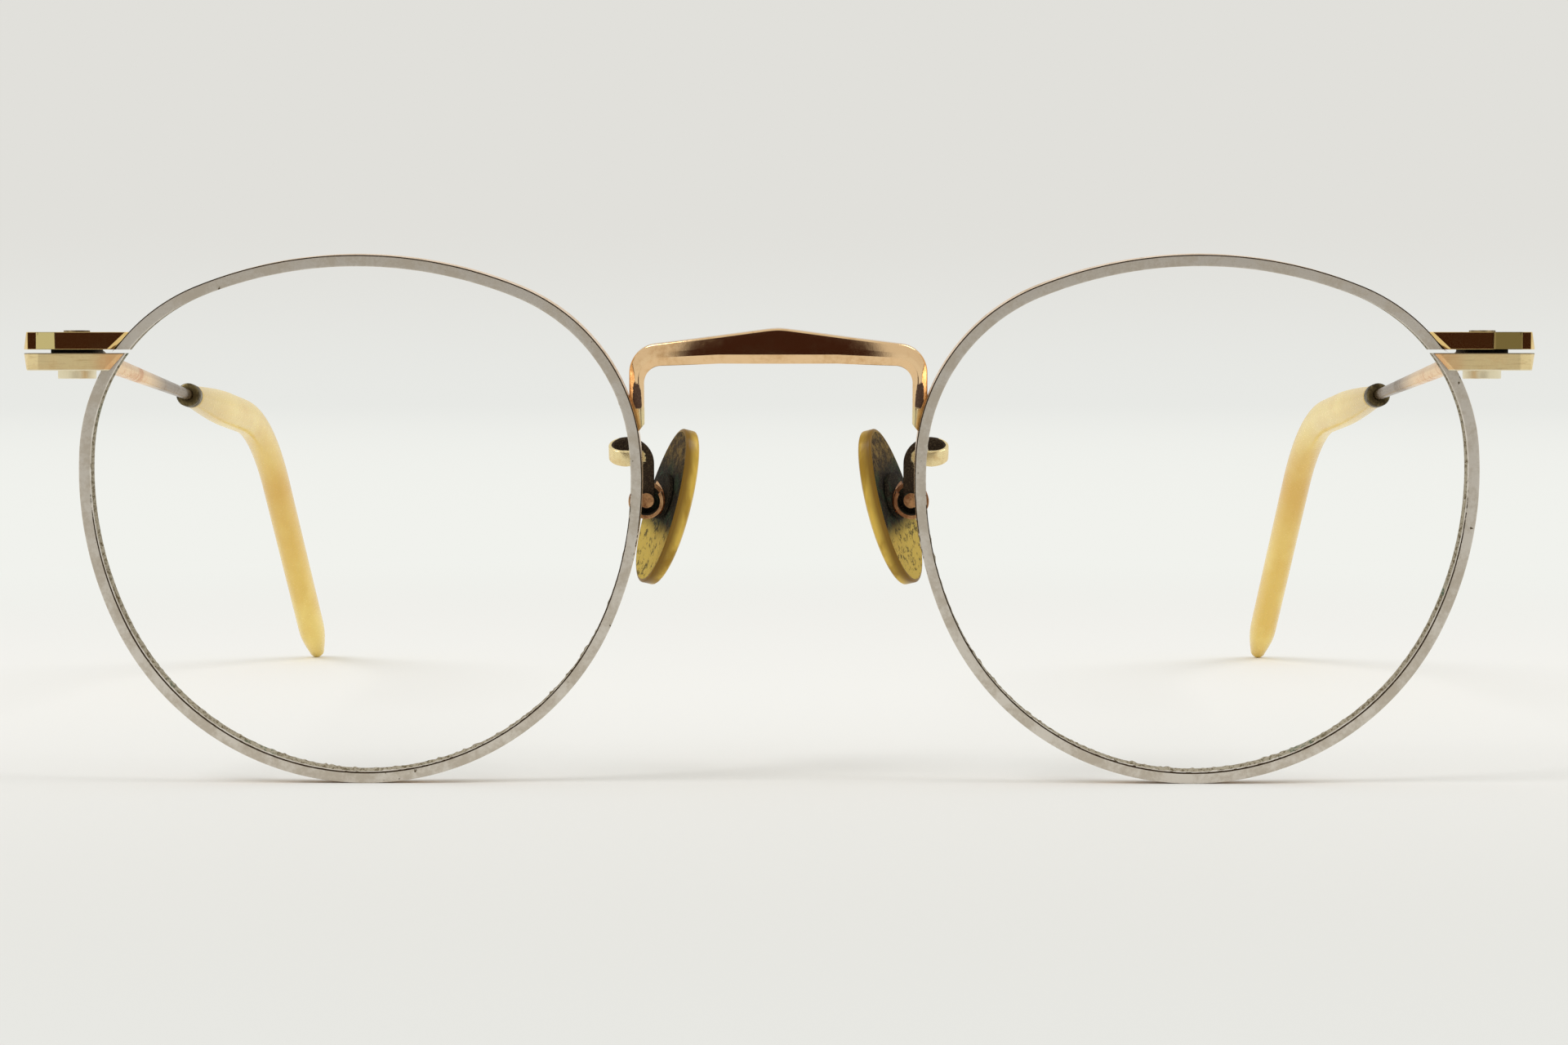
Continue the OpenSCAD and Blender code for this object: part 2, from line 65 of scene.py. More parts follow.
# Studio: a pale sheet on a table under a pale, even room. The room is darker on the camera's
# side, where the sheet ends, and polished metal that faces the camera shows that.
def seen(red, green, blue):
    """A colour as it looks on a screen, 0 to 255, as the shaders' linear values."""
    linear = []
    for level in (red / 255, green / 255, blue / 255):
        linear.append(level / 12.92 if level <= 0.04045 else ((level + 0.055) / 1.055) ** 2.4)
    return (*linear, 1)


def feed(tree, socket, value):
    """Links another node's output to a socket, or gives the socket a plain value."""
    if isinstance(value, bpy.types.NodeSocket):
        tree.links.new(value, socket)
    else:
        socket.default_value = value


def node(tree, kind, values=None, **settings):
    """Adds a shader node. values maps a socket's name or number to what feeds it."""
    made = tree.nodes.new("ShaderNode" + kind)
    for name, setting in settings.items():
        setattr(made, name, setting)
    for key, value in (values or {}).items():
        feed(tree, made.inputs[key], value)
    return made


def maths(tree, operation, a, b=0.0):
    return node(tree, "Math", {0: a, 1: b}, operation=operation).outputs[0]


def plus(tree, a, b):
    return maths(tree, "ADD", a, b)


def minus(tree, a, b):
    return maths(tree, "SUBTRACT", a, b)


def times(tree, a, b):
    return maths(tree, "MULTIPLY", a, b)


def between(tree, value, low, high):
    """A soft mask: 0 below low, 1 above high."""
    values = {"Value": value, "From Min": low, "From Max": high}
    return node(tree, "MapRange", values, interpolation_type="SMOOTHSTEP").outputs[0]


def blend(tree, mask, first, second):
    return node(tree, "Mix", {0: mask, 6: first, 7: second}, data_type="RGBA").outputs[2]


def object_place(tree):
    """Where a point of the surface lies, in the frame's metres."""
    return node(tree, "TexCoord").outputs["Object"]


def split(tree, vector):
    """The x, y and z of a vector."""
    return node(tree, "SeparateXYZ", {0: vector}).outputs


def new_material(name):
    made = bpy.data.materials.new(name)
    made.use_nodes = True
    return made, made.node_tree, made.node_tree.nodes["Principled BSDF"]


def finish(tree, shader, **values):
    """Feeds the shader's sockets; an underscore in a name stands for a space."""
    for name, value in values.items():
        feed(tree, shader.inputs[name.replace("_", " ")], value)


BACKDROP_NEAR = seen(241, 242, 237)
BACKDROP_LOW = seen(232, 233, 229)
BACKDROP_HIGH = seen(225, 224, 219)
HORIZON = (-0.015, 0.045)
ROOM_DARK = seen(58, 32, 22)
DARK_TOWARD_CAMERA = (0.88, 0.95)
LAMP_HEIGHT = (0.28, 0.5)

world = bpy.data.worlds.new("room")
scene.world = world
world.use_nodes = True
room = world.node_tree
way = split(room, node(room, "TexCoord").outputs["Generated"])
pale = blend(room, between(room, way[2], *HORIZON), BACKDROP_LOW, BACKDROP_HIGH)
flat_way = maths(room, "SQRT", minus(room, 1, times(room, way[2], way[2])))
toward_camera = between(room, maths(room, "DIVIDE", times(room, way[1], -1), flat_way), *DARK_TOWARD_CAMERA)
under_lamps = between(room, way[2], *LAMP_HEIGHT)
reflected = blend(room, times(room, toward_camera, minus(room, 1, under_lamps)), pale, ROOM_DARK)
glossy = node(room, "LightPath").outputs["Is Glossy Ray"]
finish(room, room.nodes["Background"], Strength=1, Color=blend(room, glossy, pale, reflected))

SHEET_FRONT = -172 * MM
SHEET_BACK = 3
SHEET_SIDE = 2
PAPER = seen(237, 237, 236)
PAPER_SHADED_NEARER = seen(220, 220, 218)
NEARER_FROM = (0.03, -0.15)
GLOW_FROM = (0.1, 0.26)
LOW_COLOUR_FROM = (0.25, 2.6)

sheet_mesh = bpy.data.meshes.new("sheet")
sheet_corners = [(-SHEET_SIDE, SHEET_FRONT, 0), (SHEET_SIDE, SHEET_FRONT, 0),
                 (SHEET_SIDE, SHEET_BACK, 0), (-SHEET_SIDE, SHEET_BACK, 0)]
sheet_mesh.from_pydata(sheet_corners, [], [(0, 1, 2, 3)])
sheet = bpy.data.objects.new("sheet", sheet_mesh)
scene.collection.objects.link(sheet)
sheet_material, paper, matt = new_material("paper_sheet")
spot = object_place(paper)
distance = node(paper, "VectorMath", {0: spot}, operation="LENGTH").outputs["Value"]
# Painted shade: the sheet's colour is darker on its nearer part.
nearer = between(paper, split(paper, spot)[1], *NEARER_FROM)
finish(paper, matt, Base_Color=blend(paper, nearer, PAPER, PAPER_SHADED_NEARER), Roughness=0.9,
       Specular_IOR_Level=0.1)
lower = maths(paper, "MAXIMUM", between(paper, distance, *LOW_COLOUR_FROM), nearer)
glow = node(paper, "Emission", {"Color": blend(paper, lower, BACKDROP_NEAR, BACKDROP_LOW), "Strength": 1})
far_off = between(paper, distance, *GLOW_FROM)
paper_mix = node(paper, "MixShader", {0: far_off, 1: matt.outputs[0], 2: glow.outputs[0]})
feed(paper, paper.nodes["Material Output"].inputs["Surface"], paper_mix.outputs[0])
sheet_mesh.materials.append(sheet_material)

LAMP_SIZE = 0.4
LAMP_AIM = Vector((0, 0, 0.02))
for name, place, power in (("lamp_right", (-0.5, -0.35, 0.7), 2.2), ("lamp_left", (0.55, -0.2, 0.65), 1.6)):
    lamp_data = bpy.data.lights.new(name, "AREA")
    lamp_data.shape = "DISK"
    lamp_data.size = LAMP_SIZE
    lamp_data.energy = power
    lamp = bpy.data.objects.new(name, lamp_data)
    lamp.location = place
    lamp.rotation_euler = (LAMP_AIM - Vector(place)).to_track_quat("-Z", "Y").to_euler()
    scene.collection.objects.link(lamp)


# Rims: two eyewires of nickel silver, a flat-faced channel rolled round the lens, plated with gold
# on its outer wall, where little is left. Each is split at the endpiece; the groove holds old dirt.
LEAN = math.radians(5)
LENS_W = 46
NOSE_GAP = 24
CORNER_R = 15.5
SIDE_R = 29.5
LOW_A, MID_A, HIGH_A = 25, 5, 68
RIM_D = 1.9
RIM_OUT = 0.6
RIM_LIP = 0.35
GROOVE_W = 1.0
GROOVE_D = 0.5
JOINT_GAP = 0.3
HINGE_BACK = 3.6
CRUMB_FINENESS = 4
CRUMB_FLOOR = 0.14
CRUMB_H = 0.19
CRUMB_SIDE = 25
CRUMB_TOP = 0.35
GROOVE_DIRT = 1.1
BACK_LIP_DIRT = 0.95
FRONT_LIP_DIRT = 0.5
SIDES = (("right", -1), ("left", 1))


def direction(degrees):
    return Vector((math.cos(math.radians(degrees)), math.sin(math.radians(degrees))))


bottom_r = (LENS_W / 2 - SIDE_R * (1 - direction(LOW_A).x)) / direction(LOW_A).x
side_c = (bottom_r - SIDE_R) * direction(-LOW_A)
corner_c = side_c + (SIDE_R - CORNER_R) * direction(MID_A)
top_r = CORNER_R + corner_c.x / direction(HIGH_A).x
top_c = Vector((0, corner_c.y + (CORNER_R - top_r) * direction(HIGH_A).y))
lens_x = (LENS_W + NOSE_GAP) / 2
lens_z = bottom_r + RIM_OUT

hinge_joint = next(joint for joint in frame["joints"] if joint["name"] == "left_temple_fold")
hinge = Vector(hinge_joint["pos_m"]) / MM
front_y = hinge.y - HINGE_BACK + hinge.z * math.tan(LEAN)


def leaned(x, y, z):
    """A point of the front, given as if it stood upright with its face at y 0, in millimetres."""
    cosine, sine = math.cos(LEAN), math.sin(LEAN)
    return Vector((x, front_y + y * cosine - z * sine, y * sine + z * cosine))


def clamp(share, most=1.0):
    return max(0.0, min(most, share))


def ramp(value, start, end):
    """A share that goes from 0 at start to 1 at end."""
    return clamp((value - start) / (end - start))


def spread(start, end, steps):
    """Even steps from start to end, both included."""
    return [start + (end - start) * step / steps for step in range(steps + 1)]


def rounded(corners, steps=3):
    """A closed outline from corners as (x, y, fillet radius, label); without a radius one stays sharp."""
    outline = []
    for index, (x, y, radius, label) in enumerate(corners):
        if not radius:
            outline.append((x, y, label))
            continue
        here = Vector((x, y))
        before = Vector(corners[index - 1][:2])
        after = Vector(corners[(index + 1) % len(corners)][:2])
        back, on = (before - here).normalized(), (after - here).normalized()
        reach = radius / math.tan(back.angle(on) / 2)
        start, end = here + back * reach, here + on * reach
        for t in spread(0, 1, steps):
            point = start * (1 - t) ** 2 + here * 2 * t * (1 - t) + end * t ** 2
            outline.append((point.x, point.y, label))
    return outline


def skin(rings, closed=False):
    """Points and faces of a mesh through rings of points, capped unless it closes on itself."""
    count = len(rings[0])
    points = [point for ring in rings for point in ring]
    spans = len(rings) if closed else len(rings) - 1
    faces = []
    for j in range(spans):
        for i in range(count):
            a, b = j * count, (j + 1) % len(rings) * count
            faces.append((a + i, a + (i + 1) % count, b + (i + 1) % count, b + i))
    if not closed:
        last = spans * count
        faces += [tuple(range(count)), tuple(range(last, last + count))]
    return points, faces


def piece(name, points, faces, side=1, masks=None, crease=32):
    """A mesh object from points in millimetres, given for the left side and mirrored for the right."""
    mesh = bpy.data.meshes.new(name)
    mesh.from_pydata([Vector((side * p[0], p[1], p[2])) * MM for p in points], [], faces)
    for label, values in (masks or {}).items():
        mesh.attributes.new(label, "FLOAT", "POINT").data.foreach_set("value", values)
    work = bmesh.new()
    work.from_mesh(mesh)
    bmesh.ops.recalc_face_normals(work, faces=work.faces)
    work.to_mesh(mesh)
    work.free()
    mesh.polygons.foreach_set("use_smooth", [True] * len(mesh.polygons))
    mesh.set_sharp_from_angle(angle=math.radians(crease))
    made = bpy.data.objects.new(name, mesh)
    scene.collection.objects.link(made)
    return made


def dress(made, material, body, slot, *nodes):
    """Gives a piece its material and its body, and hides the solids that it stands for. The slot is not used.
    """
    made.data.materials.append(material)
    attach(made, body)
    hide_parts(*nodes)


def noise(tree, place, fineness, detail=3.0, roughness=0.6):
    values = {"Vector": place, "Scale": fineness, "Detail": detail, "Roughness": roughness}
    return node(tree, "TexNoise", values).outputs[0]


def patches(tree, place, fineness, low, high, detail=3.0, roughness=0.6):
    """Soft-edged patches of noise: 0 where it is below low, 1 where it is above high."""
    return between(tree, noise(tree, place, fineness, detail, roughness), low, high)


def between_numbers(tree, mask, first, second):
    return node(tree, "Mix", {0: mask, 2: first, 3: second}, data_type="FLOAT").outputs[0]


def own_mask(tree, name):
    return node(tree, "Attribute", attribute_name=name).outputs["Fac"]


def bumped(tree, height, depth):
    """A normal that follows a height, with its depth in millimetres."""
    return node(tree, "Bump", {"Height": height, "Distance": depth * MM, "Strength": 1.0}).outputs[0]


def effect(name, inputs, outputs):
    """An empty node group. inputs maps a name to a socket type and a start, outputs a name to a type."""
    group = bpy.data.node_groups.new(name, "ShaderNodeTree")
    for label, (kind, start) in inputs.items():
        socket = group.interface.new_socket(label, in_out="INPUT", socket_type="NodeSocket" + kind)
        socket.default_value = start
    for label, kind in outputs.items():
        group.interface.new_socket(label, in_out="OUTPUT", socket_type="NodeSocket" + kind)
    return group, group.nodes.new("NodeGroupInput").outputs, group.nodes.new("NodeGroupOutput").inputs


def worn_metal_effect():
    """Old plating, in blotches: bright metal, and duller metal where it has worn or tarnished."""
    tree, given, result = effect(
        "worn_metal",
        {"Bright": ("Color", seen(200, 180, 140)), "Dull": ("Color", seen(120, 100, 70)),
         "Dullness": ("Float", 0.4), "Fineness": ("Float", 500), "Polish": ("Float", 0.2),
         "Matte": ("Float", 0.5)},
        {"Colour": "Color", "Roughness": "Float", "Height": "Float"})
    place = object_place(tree)
    blotch = noise(tree, place, given["Fineness"])
    fine = noise(tree, place, times(tree, given["Fineness"], 7), detail=4.0, roughness=0.7)
    height = plus(tree, times(tree, blotch, 0.65), times(tree, fine, 0.35))
    edge = minus(tree, 0.75, times(tree, given["Dullness"], 0.5))
    dull = between(tree, height, minus(tree, edge, 0.1), plus(tree, edge, 0.1))
    feed(tree, result["Colour"], blend(tree, dull, given["Bright"], given["Dull"]))
    feed(tree, result["Roughness"], between_numbers(tree, dull, given["Polish"], given["Matte"]))
    feed(tree, result["Height"], fine)
    return tree


def dark_overlay_effect():
    """A darker colour laid where the mask says, in crumbs at its edge: dirt on some parts, painted shade on
    others.
    """
    tree, given, result = effect(
        "dark_overlay",
        {"Colour": ("Color", seen(200, 180, 140)), "Roughness": ("Float", 0.3),
         "Overlay": ("Color", seen(50, 40, 30)), "Where": ("Float", 0.0), "Fineness": ("Float", 2500)},
        {"Colour": "Color", "Roughness": "Float", "Mask": "Float", "Clean": "Float"})
    place = object_place(tree)
    crumbs = noise(tree, place, given["Fineness"], detail=6.0, roughness=0.75)
    lift = times(tree, minus(tree, given["Where"], 0.5), 1.6)
    mask = between(tree, plus(tree, crumbs, lift), 0.46, 0.6)
    specks = patches(tree, place, fineness=9000, low=0.45, high=0.7)
    dirt = blend(tree, 0.2, given["Overlay"], blend(tree, specks, given["Overlay"], seen(150, 132, 100)))
    feed(tree, result["Colour"], blend(tree, mask, given["Colour"], dirt))
    feed(tree, result["Roughness"], between_numbers(tree, mask, given["Roughness"], 0.85))
    feed(tree, result["Mask"], mask)
    feed(tree, result["Clean"], minus(tree, 1, mask))
    return tree


worn_metal = worn_metal_effect()
dark_overlay = dark_overlay_effect()


def metal(tree, bright, dull, dullness, fineness, polish, matte):
    """Worn metal: its bright and its dull colour, the share that is dull, and the roughness of each."""
    values = {"Bright": seen(*bright), "Dull": seen(*dull), "Dullness": dullness, "Fineness": fineness,
              "Polish": polish, "Matte": matte}
    return node(tree, "Group", values, node_tree=worn_metal).outputs


def overlaid(tree, colour, roughness, dirt, where, fineness):
    """A colour and a roughness under a darker colour where the mask says, dirt on some parts and painted
    shade on others.
    """
    values = {"Colour": colour, "Roughness": roughness, "Overlay": dirt, "Where": where, "Fineness": fineness}
    return node(tree, "Group", values, node_tree=dark_overlay).outputs


def rim_material():
    made, tree, shader = new_material("nickel_eyewire")
    place = object_place(tree)
    base = metal(tree, bright=(213, 206, 195), dull=(192, 182, 167), dullness=0.5, fineness=420,
                 polish=0.36, matte=0.48)
    wall = metal(tree, bright=(240, 208, 172), dull=(190, 160, 120), dullness=0.4, fineness=300,
                 polish=0.25, matte=0.4)
    on_wall = own_mask(tree, "wall")
    colour = blend(tree, on_wall, base["Colour"], wall["Colour"])
    rough = between_numbers(tree, on_wall, base["Roughness"], wall["Roughness"])
    # Painted shade: a dark line along the face's edges, where the corner mask says.
    line = overlaid(tree, colour, rough, dirt=seen(58, 44, 30),
                  where=times(tree, own_mask(tree, "corner"), 0.9), fineness=1500)
    green = patches(tree, place, fineness=260, low=0.56, high=0.66)
    old = blend(tree, green, seen(98, 86, 62), seen(76, 96, 78))
    grit = patches(tree, place, fineness=3600, low=0.40, high=0.54, detail=5.0, roughness=0.75)
    darkened = overlaid(tree, line["Colour"], line["Roughness"], dirt=blend(tree, grit, old, seen(168, 160, 142)),
                   where=times(tree, own_mask(tree, "groove"), 0.62), fineness=2200)
    specks = patches(tree, place, fineness=1300, low=0.71, high=0.76, detail=2.0)
    height = plus(tree, times(tree, base["Height"], 0.25), darkened["Mask"])
    finish(tree, shader, Base_Color=blend(tree, specks, darkened["Colour"], seen(92, 80, 60)),
           Roughness=darkened["Roughness"], Normal=bumped(tree, height, 0.02),
           Metallic=times(tree, darkened["Clean"], 0.55), Specular_IOR_Level=0.25)
    return made


def rim_section():
    """The channel's section, rounded, as (out from the lens edge, back from the face, label)."""
    mid = RIM_D / 2
    inner = -RIM_LIP
    return rounded([
        (inner, 0.16, 0, "lip"), (inner, 0, 0.07, "brow"), (inner + 0.16, 0, 0, "face"),
        (0.2, -0.015, 0, "face"), (RIM_OUT - 0.12, 0, 0, "face"), (RIM_OUT, 0, 0.08, "corner"),
        (RIM_OUT, 0.14, 0, "wall"), (RIM_OUT, RIM_D, 0.12, "wall"), (inner, RIM_D, 0.1, "lip"),
        (inner, mid + GROOVE_W / 2, 0.04, "lip"), (GROOVE_D - RIM_LIP, mid, 0.08, "groove"),
        (inner, mid - GROOVE_W / 2, 0.04, "lip")])


def rim_stations(offset, back):
    """One point of the section carried round, from above the joint to below it, as (x, z, turn)."""
    arcs = [
        (corner_c, CORNER_R, None, HIGH_A, 34), (top_c, top_r, HIGH_A, 180 - HIGH_A, 40),
        (Vector((-corner_c.x, corner_c.y)), CORNER_R, 180 - HIGH_A, 180 - MID_A, 60),
        (Vector((-side_c.x, side_c.y)), SIDE_R, 180 - MID_A, 180 + LOW_A, 34),
        (Vector((0, 0)), bottom_r, 180 + LOW_A, 360 - LOW_A, 220),
        (side_c, SIDE_R, -LOW_A, MID_A, 34), (corner_c, CORNER_R, MID_A, None, 30)]
    stations = []
    for centre, radius, start, end, steps in arcs:
        ends = []
        for angle, up in ((start, 1), (end, -1)):
            if angle is None:
                level = (hinge.z + up * JOINT_GAP / 2 - back * math.sin(LEAN)) / math.cos(LEAN) - lens_z
                angle = math.degrees(math.asin((level - centre.y) / (radius + offset)))
            ends.append(angle)
        for turn in spread(*ends, steps)[:steps + (end is None)]:
            spot = centre + (radius + offset) * direction(turn)
            stations.append((spot.x, spot.y, turn))
    return stations


nickel = rim_material()
section = rim_section()
lines = [rim_stations(offset, back) for offset, back, label in section]
for side_name, side in SIDES:
    rings, masks = [], {"wall": [], "corner": [], "groove": []}
    # A painted shade line runs dark along the face's outer edge high up, and along its inner edge low down
    for stations in zip(*lines):
        ring = []
        for (offset, back, label), (x, z, turn) in zip(section, stations):
            crumb = 0.0
            if label in ("groove", "lip") and back > 0.1:
                grain = Vector((x * CRUMB_FINENESS, z * CRUMB_FINENESS, side * 7 + back * 2))
                crumb = max(0.0, mathutils.noise.noise(grain) - CRUMB_FLOOR)
                inward = CRUMB_H * crumb * max(0.0, CRUMB_TOP - direction(turn + CRUMB_SIDE).y)
                x, z = x - inward * direction(turn).x, z - inward * direction(turn).y
            ring.append(leaned(lens_x + x, back, lens_z + z))
            outer_shade_line = clamp(0.4 + 1.1 * direction(turn - 110).x)
            inner_shade_line = clamp(0.5 - 1.2 * direction(turn).y)
            lip_dirt = BACK_LIP_DIRT if back > 0.5 else FRONT_LIP_DIRT
            masks["wall"].append(1.0 if label == "wall" else 0.0)
            masks["corner"].append({"corner": outer_shade_line, "brow": inner_shade_line}.get(label, 0.0))
            masks["groove"].append({"groove": GROOVE_DIRT, "lip": lip_dirt}.get(label, 0.0) + crumb)
        rings.append(ring)
    points, faces = skin(rings)
    rim = piece(side_name + "_eyewire", points, faces, side, masks)
    dress(rim, nickel, "front", "nickel_silver", side_name + "_rim")


# Bridge: one bar of rose gold plate, forged flat-faced with a low peak, a bevel along its lower
# edge, and its ends bent down into square legs that are soldered to the rims' nasal walls.
PEAK_Z = 38.6
PEAK_LIFT = 0.05
PEAK_ROUND = 0.5
CREST_H = 2.9
CREST_FALL = 1.3
CREST_D = 1.5
CREST_BOW = 1.6
CREST_HOLLOW = 0.25
FOOT_AHEAD = 0.25
LEG_W = 1.25
LEG_INSET = 0.15
LEG_FOOT_H = 6.9
WALL_SINK = 0.12
BEVEL_H = 0.75
LEG_BEVEL = 0.3
FOOT_SLANT = 0.7
SHOULDER_TURN = 82
leg_x = lens_x - LENS_W / 2 - LEG_INSET
leg_out, leg_in = leg_x + LEG_W / 2, leg_x - LEG_W / 2
foot_z = lens_z + LEG_FOOT_H
shoulder_z = PEAK_Z - CREST_FALL
under_z = PEAK_Z - CREST_H - CREST_HOLLOW
shoulder_r, fillet_r = 2 * LEG_W, 1.2 * LEG_W
crest_front = CREST_BOW + FOOT_AHEAD - RIM_D / 2


def rim_wall_x(z):
    """Where the rim's nasal wall stands at a height, in the upright front."""
    wall_r = CORNER_R + RIM_OUT
    return lens_x - corner_c.x - math.sqrt(wall_r ** 2 - (z - lens_z - corner_c.y) ** 2)


def peak_fall(x):
    """How far the crest has come down from its rounded peak."""
    return math.sqrt(x ** 2 + PEAK_ROUND ** 2) - PEAK_ROUND


def bridge_stations():
    """Pairs of points, outside and inside of the bar, from the left foot up to the middle."""
    leg_top, fillet_z = shoulder_z - shoulder_r, under_z - fillet_r
    pairs = []
    for z, z_in in zip(spread(foot_z, leg_top, 13), spread(foot_z + FOOT_SLANT, fillet_z, 13)):
        pairs.append(((min(leg_out, rim_wall_x(z) + WALL_SINK), z), (leg_in, z_in)))
    for turn, turn_in in list(zip(spread(0, SHOULDER_TURN, 16), spread(0, 90, 16)))[1:]:
        outer = Vector((leg_out - shoulder_r, leg_top)) + shoulder_r * direction(turn)
        inner = Vector((leg_in - fillet_r, fillet_z)) + fillet_r * direction(turn_in)
        pairs.append((tuple(outer), tuple(inner)))
    (x_out, z_out), (x_in, z_in) = pairs[-1]
    peak = PEAK_Z + PEAK_LIFT
    for t in spread(0, 1, 24)[1:]:
        x = x_out * (1 - t)
        top = peak - (peak - z_out) * peak_fall(x) / peak_fall(x_out)
        pairs.append(((x, top), (x_in * (1 - t), z_in + (under_z + CREST_HOLLOW - z_in) * min(1, 2 * t))))
    return pairs


def bridge_ring(outer, inner):
    """The bar's section at one station, bevelled below in front, with the share of its flat front."""
    outer, inner = Vector(outer), Vector(inner)
    half = (outer - inner).length / 2
    middle = (outer + inner) / 2
    up = (outer - inner).normalized()
    level = clamp(up.y)
    bevel = BEVEL_H * level + LEG_BEVEL * (1 - level)
    corners = [(half, 0.22, 0.2, 0), (half, CREST_D, 0.25, 0), (-half, CREST_D, 0.25, 0),
               (-half, 0.6 * bevel, 0.16, 0), (-half + bevel, 0, 0.3, 1), (0.2 * half, 0.04, 0.5, 1)]
    ring, fronts = [], []
    for lift, back, front in rounded(corners, steps=6):
        spot = middle + up * lift
        ahead = CREST_BOW * min(1, abs(spot.x) / leg_out) ** 2.6 - crest_front
        ring.append((spot.x, ahead + back, spot.y))
        fronts.append(front)
    return ring, fronts


def bridge_material():
    made, tree, shader = new_material("rose_gold_bar")
    base = metal(tree, bright=(238, 202, 156), dull=(214, 172, 122), dullness=0.35, fineness=240,
                 polish=0.1, matte=0.2)
    foot = own_mask(tree, "foot")
    yellow = blend(tree, foot, base["Colour"], seen(236, 218, 168))
    satin = plus(tree, base["Roughness"], times(tree, foot, 0.22))
    darkened = overlaid(tree, yellow, satin, dirt=seen(72, 46, 32), where=times(tree, own_mask(tree, "leg"), 0.95),
                   fineness=900)
    finish(tree, shader, Base_Color=darkened["Colour"], Roughness=darkened["Roughness"], Metallic=darkened["Clean"],
           Normal=bumped(tree, base["Height"], 0.004))
    return made


half_bridge = bridge_stations()
whole_bridge = half_bridge + [((-o[0], o[1]), (-i[0], i[1])) for o, i in reversed(half_bridge[:-1])]
rings, masks = [], {"leg": [], "foot": []}
for outer, inner in whole_bridge:
    mirrored = -1 if outer[0] < 0 else 1
    ring, fronts = bridge_ring((abs(outer[0]), outer[1]), (abs(inner[0]), inner[1]))
    rings.append([leaned(mirrored * x, y, z) for x, y, z in ring])
    rise = outer[1] - foot_z
    # The legs' fronts are coloured darker over a band from about 1 to 6 mm above the feet.
    dark_band = min(0.9, ramp(rise, 1.1, 2.8), ramp(rise, 5.7, 3.5))
    masks["leg"] += [dark_band * front for front in fronts]
    masks["foot"] += [ramp(rise, 2.4, 1.6)] * len(ring)
points, faces = skin(rings)
bridge = piece("bridge_bar", points, faces, 1, masks, crease=50)
dress(bridge, bridge_material(), "front", "rose_gold", "bridge")


# Endpieces: each is a gold-plated block sawn in two. The upper half is soldered to the rim's upper
# end and polished, with two worn dips near its outer end, and a reflection painted into the inner dip,
# olive on the left and pale on the right. The lower half is brushed, with a highlight painted pale along
# its foot and a shadow painted dark along the saw cut, and laps a little over the rim's face.
HINGE_REACH = 3.8
BAR_LEN = 7.6
BAR_H = 1.45
bar_inner_x = hinge.x - HINGE_REACH
bar_foot_z = hinge.z - JOINT_GAP / 2 - BAR_H


def paint(name, material, edge_width, edge_angle=28):
    """Gives a solid that keeps its own shape its material, and rounds its edges."""
    solid = frame["nodes"][name]
    solid.data.materials.clear()
    solid.data.materials.append(material)
    solid.modifiers.new("weld", "WELD").merge_threshold = 0.002 * MM
    flatten = solid.modifiers.new("flatten", "DECIMATE")
    flatten.decimate_type = "DISSOLVE"
    flatten.angle_limit = math.radians(1.5)
    round_off = solid.modifiers.new("round", "BEVEL")
    round_off.width = edge_width * MM
    round_off.segments = 3
    round_off.limit_method = "ANGLE"
    round_off.use_clamp_overlap = False
    round_off.angle_limit = math.radians(edge_angle)
    round_off.miter_outer = "MITER_ARC"
    round_off.spread = edge_width / 2 * MM
    solid.modifiers.new("flat_faces", "WEIGHTED_NORMAL").weight = 90
    solid.data.polygons.foreach_set("use_smooth", [True] * len(solid.data.polygons))


def strip(tree, value, rise, fall):
    """A soft mask that comes in over the first pair of values and goes out over the second."""
    return minus(tree, between(tree, value, *rise), between(tree, value, *fall))


def polished_end_material():
    made, tree, shader = new_material("polished_gold_end")
    base = metal(tree, bright=(236, 204, 136), dull=(216, 178, 118), dullness=0.3, fineness=260,
                 polish=0.12, matte=0.17)
    spot = split(tree, object_place(tree))
    from_end = minus(tree, (bar_inner_x + BAR_LEN) * MM, maths(tree, "ABSOLUTE", spot[0]))
    to_left = between(tree, spot[0], -1 * MM, 1 * MM)
    outer_dip = strip(tree, from_end, (0.4 * MM, 0.5 * MM), (1.3 * MM, 1.5 * MM))
    dip_end = between_numbers(tree, to_left, 2.6 * MM, 3.4 * MM)
    inner_dip = strip(tree, from_end, (1.1 * MM, 1.35 * MM), (dip_end, plus(tree, dip_end, 0.5 * MM)))
    sideways = times(tree, outer_dip, between_numbers(tree, to_left, 0.24, -0.24))
    lean = node(tree, "CombineXYZ", {0: sideways, 2: times(tree, inner_dip, -0.26)}).outputs[0]
    own = node(tree, "NewGeometry").outputs["Normal"]
    tilted = node(tree, "VectorMath", {0: own, 1: lean}, operation="ADD").outputs[0]
    normal = node(tree, "VectorMath", {0: tilted}, operation="NORMALIZE").outputs[0]
    # Painted reflection: the inner dip is coloured olive on the left endpiece and pale on the right.
    dip_reflection = blend(tree, to_left, seen(210, 194, 134), seen(126, 108, 62))
    finish(tree, shader, Base_Color=blend(tree, inner_dip, base["Colour"], dip_reflection),
           Roughness=base["Roughness"], Normal=normal, Metallic=1)
    return made


